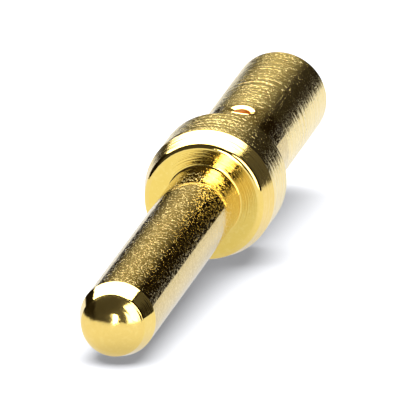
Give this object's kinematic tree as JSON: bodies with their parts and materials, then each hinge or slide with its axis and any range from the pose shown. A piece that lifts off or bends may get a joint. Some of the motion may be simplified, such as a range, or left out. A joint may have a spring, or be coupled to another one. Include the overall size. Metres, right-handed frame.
{
  "type": "crimp contact",
  "caption": "Turned male crimp contact: domed pin, shouldered collar with a tapered lead, and a crimp barrel with a blind wire bore and an inspection hole.",
  "frame": {"origin": "centre of the crimp barrel's open end, on the surface the contact stands on", "axes": "+Z is the turning axis, from the barrel's open end to the pin's nose; the inspection hole is on the -Y side"},
  "size_m": [0.0036, 0.0034, 0.0205],
  "materials": {
    "gold_plating": "gold plated; fine-grained on the pin, collar land and barrel, bright and turned on the nose, lead and collar face"
  },
  "bodies": {
    "root": {"crimp_contact": "gold_plating"}
  },
  "joints": []
}
